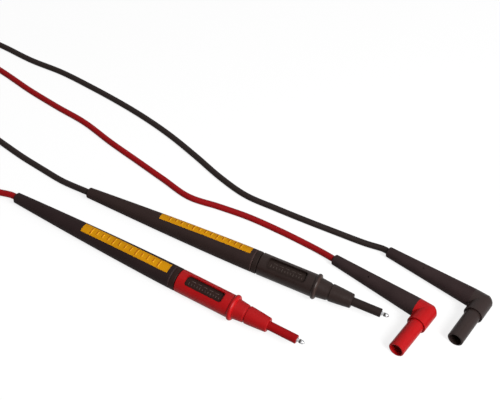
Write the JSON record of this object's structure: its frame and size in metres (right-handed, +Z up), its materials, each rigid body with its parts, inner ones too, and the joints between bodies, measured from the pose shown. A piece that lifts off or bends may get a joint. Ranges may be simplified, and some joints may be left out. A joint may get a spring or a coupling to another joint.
{
  "type": "multimeter test leads",
  "caption": "Pair of multimeter test leads: twist-guard probes with sliding tip sheaths, flexible cables and right-angle shrouded plugs.",
  "frame": {"origin": "On the bench, below the middle of the box that holds the two probes.", "axes": "+X from the cable ends of the probes towards their tips, +Y from the red probe towards the black one, +Z up from the bench."},
  "size_m": [0.3866, 0.1282, 0.0133],
  "materials": {
    "handle": "matt soft-touch",
    "core": "moulded",
    "dark_plastic": "moulded",
    "red_plastic": "satin moulded",
    "black_plastic": "satin moulded",
    "label": "matt with raised ticks",
    "red_cable": "silicone, satin",
    "black_cable": "silicone, satin",
    "strap": "woven strap",
    "seal": "matt",
    "nickel": "nickel plated",
    "steel": "turned",
    "brass": "machined",
    "copper": "stranded copper"
  },
  "bodies": {
    "leads": {"red_grip": "handle", "red_label": "label", "red_core": "core", "red_drum": "dark_plastic", "red_friction_ring": "seal", "red_retaining_ring": "steel", "red_tip_rod": "nickel", "red_ferrule": "brass", "red_probe_wire": "copper", "red_probe_cable_end": "red_cable", "red_plug_relief": "handle", "red_plug_elbow": "red_plastic", "red_plug_barrel": "red_plastic", "red_plug_pin": "brass", "red_plug_contact": "brass", "red_plug_terminal": "brass", "red_plug_wire": "copper", "red_plug_cable_end": "red_cable", "red_plug_cable": "red_cable", "red_coil": "red_cable", "red_probe_cable": "red_cable", "red_coil_ties": "strap", "black_grip": "handle", "black_label": "label", "black_core": "core", "black_drum": "dark_plastic", "black_friction_ring": "seal", "black_retaining_ring": "steel", "black_tip_rod": "nickel", "black_ferrule": "brass", "black_probe_wire": "copper", "black_probe_cable_end": "black_cable", "black_plug_relief": "handle", "black_plug_elbow": "black_plastic", "black_plug_barrel": "black_plastic", "black_plug_pin": "brass", "black_plug_contact": "brass", "black_plug_terminal": "brass", "black_plug_wire": "copper", "black_plug_cable_end": "black_cable", "black_plug_cable": "black_cable", "black_coil": "black_cable", "black_probe_cable": "black_cable", "black_coil_ties": "strap"},
    "red_twist_guard": {"red_twist_shell": "red_plastic", "red_nose_cone": "red_plastic"},
    "red_sliding_sheath": {"red_sheath": "red_plastic", "red_cam_pins": "steel"},
    "black_twist_guard": {"black_twist_shell": "black_plastic", "black_nose_cone": "black_plastic"},
    "black_sliding_sheath": {"black_sheath": "black_plastic", "black_cam_pins": "steel"}
  },
  "joints": [
    {"name": "red_twist", "type": "hinge", "parent": "leads", "child": "red_twist_guard", "pos_m": [0.03145, -0.01675, 0.00665], "axis": [0.9991, -0.0384, 0.0203], "range_deg": [0, 180]},
    {"name": "red_sheath_slide", "type": "slide", "parent": "red_twist_guard", "child": "red_sliding_sheath", "axis": [-0.9991, 0.0384, -0.0203], "range_m": [0, 0.015]},
    {"name": "black_twist", "type": "hinge", "parent": "leads", "child": "black_twist_guard", "pos_m": [0.05975, 0.01675, 0.00665], "axis": [0.999, 0.0401, 0.0203], "range_deg": [0, 180]},
    {"name": "black_sheath_slide", "type": "slide", "parent": "black_twist_guard", "child": "black_sliding_sheath", "axis": [-0.999, -0.0401, -0.0203], "range_m": [0, 0.015]}
  ],
  "couplings": [
    {"joint": "red_twist", "follows": "red_sheath_slide", "rad_per_m": 209.44},
    {"joint": "black_twist", "follows": "black_sheath_slide", "rad_per_m": 209.44}
  ]
}
